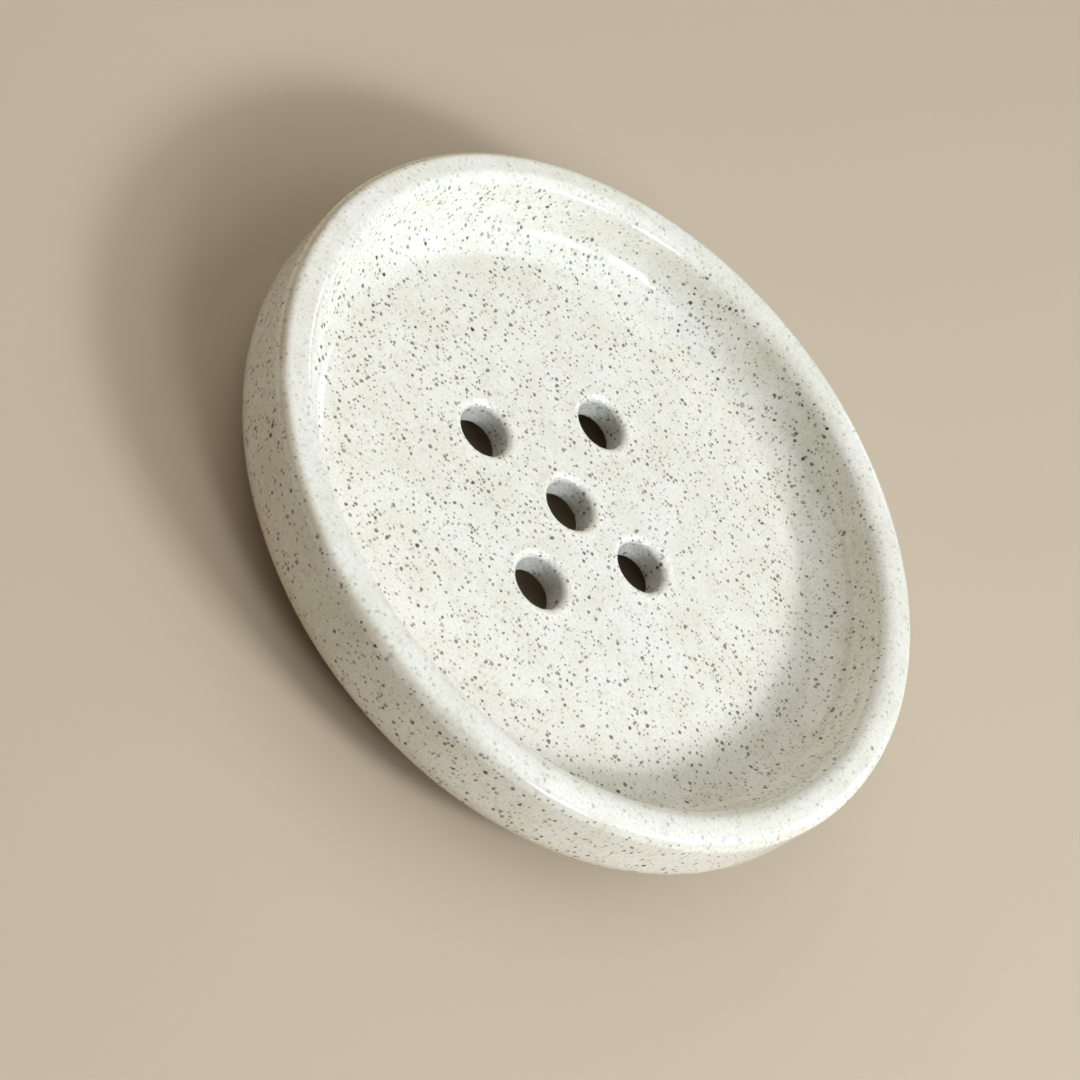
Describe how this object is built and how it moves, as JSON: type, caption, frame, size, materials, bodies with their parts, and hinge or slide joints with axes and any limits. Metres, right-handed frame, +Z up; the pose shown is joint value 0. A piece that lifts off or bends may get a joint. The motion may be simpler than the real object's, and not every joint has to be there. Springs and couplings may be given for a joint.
{
  "type": "soap dish",
  "caption": "Round shallow soap dish of speckled glazed stoneware, with a rounded rim, drain holes through the floor and a bare foot ring.",
  "frame": {"origin": "centre of the foot ring's lower face, on the surface that the dish stands on", "axes": "+Z up out of the well, along the axis the dish was turned on; +X and +Y level. Seen from the middle drain hole, the nearest of the other four lies towards +X, about 16 degrees round towards +Y"},
  "size_m": [0.12, 0.12, 0.02],
  "materials": {
    "glazed_stoneware": "glossy warm white glaze with fine dark iron specks",
    "bare_stoneware": "matt bare fired clay"
  },
  "bodies": {
    "root": {"glazed_bowl": "glazed_stoneware", "foot_ring": "bare_stoneware"}
  },
  "joints": []
}
